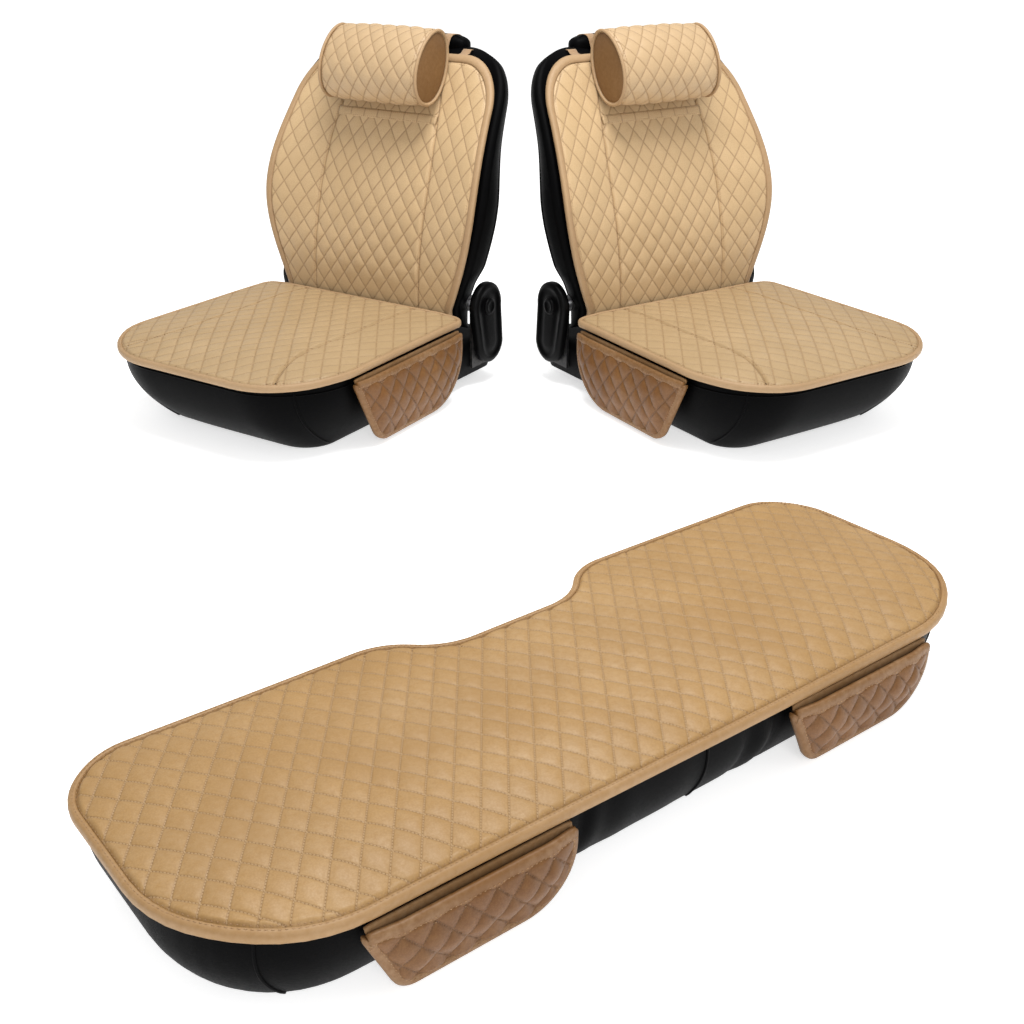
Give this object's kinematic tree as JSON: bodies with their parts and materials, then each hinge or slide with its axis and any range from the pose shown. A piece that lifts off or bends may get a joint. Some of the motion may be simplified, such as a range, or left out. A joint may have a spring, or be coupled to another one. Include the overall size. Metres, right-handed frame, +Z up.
{
  "type": "seat cover set",
  "caption": "Quilted leather seat covers with neck pillows and hanging side pockets, fitted on reclining front seats and a rear bench.",
  "frame": {"origin": "centre of the bounding box, at floor level", "axes": "+Z up; the seats and bench face roughly towards -Y, each front seat turned outwards; +X to the right as seen from the front"},
  "size_m": [1.8258, 2.4682, 0.8253],
  "materials": {
    "seat_leather": "soft sheen black leather",
    "shield_plastic": "fine-grained black plastic",
    "buckle_plastic": "black plastic",
    "bracket_steel": "black paint",
    "bare_steel": "turned steel",
    "quilt_centre": "quilted tan leather, stitched in diamonds",
    "quilt_side": "quilted tan leather, stitched in diamonds",
    "binding_tape": "folded tan leather tape with twin stitching",
    "pillow_quilt": "quilted tan leather",
    "pillow_cap": "smooth brown leather",
    "pocket_lining": "brown backing cloth",
    "pocket_quilt": "quilted tan leather",
    "webbing": "woven tan webbing",
    "anchor_plastic": "black plastic"
  },
  "bodies": {
    "seat_bases": {"left_seat_base": "seat_leather", "left_recliner_brackets": "bracket_steel", "left_bracket_bolts": "bare_steel", "left_recliner_shields": "shield_plastic", "left_cushion_centre_panel": "quilt_centre", "left_cushion_side_panels": "quilt_side", "left_cushion_binding": "binding_tape", "left_anchor_straps": "webbing", "left_anchor_tubes": "anchor_plastic", "right_seat_base": "seat_leather", "right_recliner_brackets": "bracket_steel", "right_bracket_bolts": "bare_steel", "right_recliner_shields": "shield_plastic", "right_cushion_centre_panel": "quilt_centre", "right_cushion_side_panels": "quilt_side", "right_cushion_binding": "binding_tape", "right_anchor_straps": "webbing", "right_anchor_tubes": "anchor_plastic", "bench_base": "seat_leather", "bench_cover": "quilt_centre", "bench_binding": "binding_tape", "bench_anchors": "webbing"},
    "left_backrest": {"left_backrest": "seat_leather", "left_head_pad": "seat_leather", "left_recliner_pins": "bare_steel", "left_back_centre_panel": "quilt_centre", "left_back_side_panels": "quilt_side", "left_back_yoke": "quilt_centre", "left_back_binding": "binding_tape", "left_back_straps": "webbing", "left_strap_buckles": "buckle_plastic", "left_pillow_strap": "webbing"},
    "left_pillow": {"left_pillow_body": "pillow_quilt", "left_pillow_end_caps": "pillow_cap", "left_pillow_piping": "binding_tape"},
    "left_pocket": {"left_pocket_back_panel": "pocket_lining", "left_pocket_front_panel": "pocket_quilt", "left_pocket_binding": "binding_tape"},
    "bench_left_pocket": {"bench_left_pocket_back_panel": "pocket_lining", "bench_left_pocket_front_panel": "pocket_quilt", "bench_left_pocket_binding": "binding_tape"},
    "right_backrest": {"right_backrest": "seat_leather", "right_head_pad": "seat_leather", "right_recliner_pins": "bare_steel", "right_back_centre_panel": "quilt_centre", "right_back_side_panels": "quilt_side", "right_back_yoke": "quilt_centre", "right_back_binding": "binding_tape", "right_back_straps": "webbing", "right_strap_buckles": "buckle_plastic", "right_pillow_strap": "webbing"},
    "right_pillow": {"right_pillow_body": "pillow_quilt", "right_pillow_end_caps": "pillow_cap", "right_pillow_piping": "binding_tape"},
    "right_pocket": {"right_pocket_back_panel": "pocket_lining", "right_pocket_front_panel": "pocket_quilt", "right_pocket_binding": "binding_tape"},
    "bench_right_pocket": {"bench_right_pocket_back_panel": "pocket_lining", "bench_right_pocket_front_panel": "pocket_quilt", "bench_right_pocket_binding": "binding_tape"}
  },
  "joints": [
    {"name": "left_backrest_tilt", "type": "hinge", "parent": "seat_bases", "child": "left_backrest", "pos_m": [-0.33508, 0.94443, 0.2], "axis": [0.8415, -0.5402, 0], "range_deg": [-5, 25]},
    {"name": "left_pillow_height", "type": "slide", "parent": "left_backrest", "child": "left_pillow", "axis": [-0.2716, -0.4231, -0.8644], "range_m": [0, 0.06]},
    {"name": "left_pocket_flap", "type": "hinge", "parent": "seat_bases", "child": "left_pocket", "pos_m": [-0.24847, 0.5025, 0.174], "axis": [-0.5193, -0.8546, 0], "range_deg": [0, 45]},
    {"name": "right_backrest_tilt", "type": "hinge", "parent": "seat_bases", "child": "right_backrest", "pos_m": [0.33508, 0.94443, 0.2], "axis": [0.8415, 0.5402, 0], "range_deg": [-5, 25]},
    {"name": "right_pillow_height", "type": "slide", "parent": "right_backrest", "child": "right_pillow", "axis": [0.2716, -0.4231, -0.8644], "range_m": [0, 0.06]},
    {"name": "right_pocket_flap", "type": "hinge", "parent": "seat_bases", "child": "right_pocket", "pos_m": [0.24847, 0.5025, 0.174], "axis": [-0.5193, 0.8546, 0], "range_deg": [0, 45]},
    {"name": "bench_left_pocket_flap", "type": "hinge", "parent": "seat_bases", "child": "bench_left_pocket", "pos_m": [-0.06246, -1.11115, 0.116], "axis": [-0.7923, -0.6101, 0], "range_deg": [0, 80]},
    {"name": "bench_right_pocket_flap", "type": "hinge", "parent": "seat_bases", "child": "bench_right_pocket", "pos_m": [0.47471, -0.69747, 0.116], "axis": [-0.7923, -0.6101, 0], "range_deg": [0, 80]}
  ]
}
